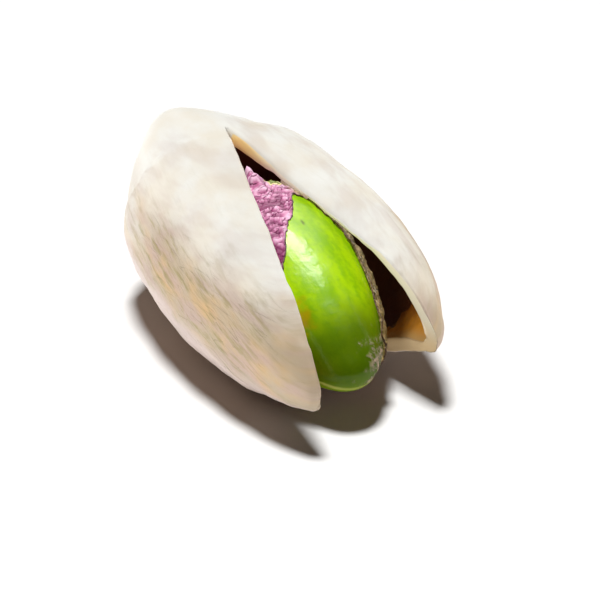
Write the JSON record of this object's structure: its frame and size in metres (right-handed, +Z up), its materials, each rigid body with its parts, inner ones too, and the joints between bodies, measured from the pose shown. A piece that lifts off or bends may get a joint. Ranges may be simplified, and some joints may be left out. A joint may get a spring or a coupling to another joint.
{
  "type": "pistachio nut in shell",
  "caption": "Dried pistachio: an ivory shell split open from near the stem end to its pointed tip, holding a green kernel in a torn papery purple-brown skin.",
  "frame": {"origin": "on the table plane, under the middle of the shell's bounding box", "axes": "+X along the nut from the joined stem end to the split tip, +Y across the two halves, +Z up"},
  "size_m": [0.0198, 0.013, 0.0111],
  "materials": {
    "shell": "smooth dry nutshell, satin",
    "kernel": "smooth waxy seed, satin",
    "seed_skin": "papery, wrinkled, matt"
  },
  "bodies": {
    "root": {"shell": "shell", "kernel": "kernel", "seed_skin": "seed_skin"}
  },
  "joints": []
}
